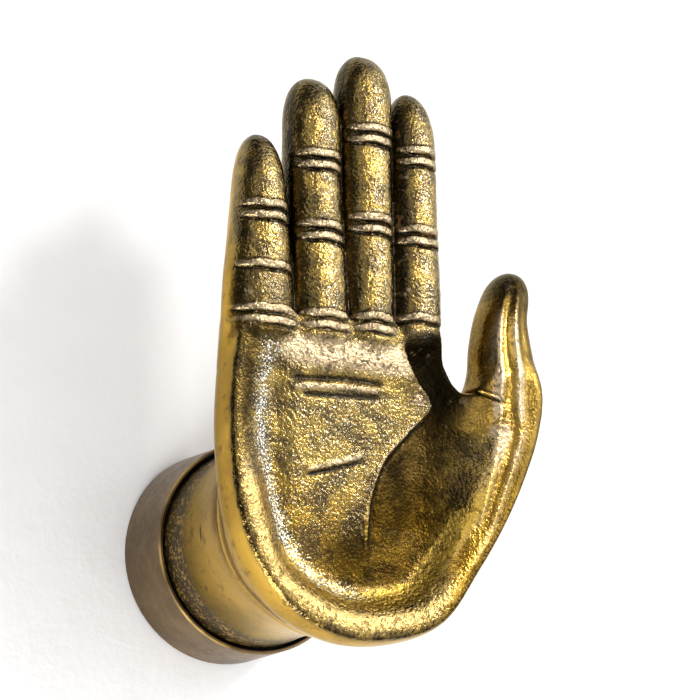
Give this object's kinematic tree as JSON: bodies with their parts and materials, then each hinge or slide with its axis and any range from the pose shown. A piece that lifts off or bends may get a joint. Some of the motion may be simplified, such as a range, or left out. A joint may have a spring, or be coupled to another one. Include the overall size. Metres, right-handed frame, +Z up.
{
  "type": "mudra hand wall sculpture",
  "caption": "Cast brass hand with raised palm and straight fingers, standing out of a round wall collar; screws onto a stud in a hidden wall plate.",
  "frame": {"origin": "middle of the collar's back, on the wall, where the collar's axis meets the wall plane", "axes": "+Y into the wall along the collar's axis, +Z up along the fingers, +X to the viewer's right, the thumb's side"},
  "size_m": [0.089, 0.0803, 0.1491],
  "materials": {
    "cast_brass": "sand-cast, antiqued and rubbed bright on the high places",
    "bronzed_brass": "turned, bronzed brown, satin",
    "turned_brass": "turned bright",
    "zinc_steel": "bright zinc plate",
    "spring_steel": "blued spring steel"
  },
  "bodies": {
    "wall_fixing": {"wall_plate": "zinc_steel", "centre_bolt": "zinc_steel", "lock_washer": "spring_steel", "clamp_nut": "zinc_steel"},
    "rose": {"collar": "bronzed_brass", "thrust_washer": "turned_brass"},
    "hand": {"hand": "cast_brass", "wrist_boss": "turned_brass", "retaining_ring": "spring_steel"}
  },
  "joints": [
    {"name": "rose_slide", "type": "slide", "parent": "wall_fixing", "child": "rose", "axis": [0, -1, 0], "range_m": [0, 0.01]},
    {"name": "hand_turn", "type": "hinge", "parent": "rose", "child": "hand", "pos_m": [0, -0.018, 0], "axis": [0, -1, 0], "range_deg": [0, 2880]}
  ],
  "couplings": [
    {"joint": "rose_slide", "follows": "hand_turn", "m_per_rad": 0.00019894}
  ]
}
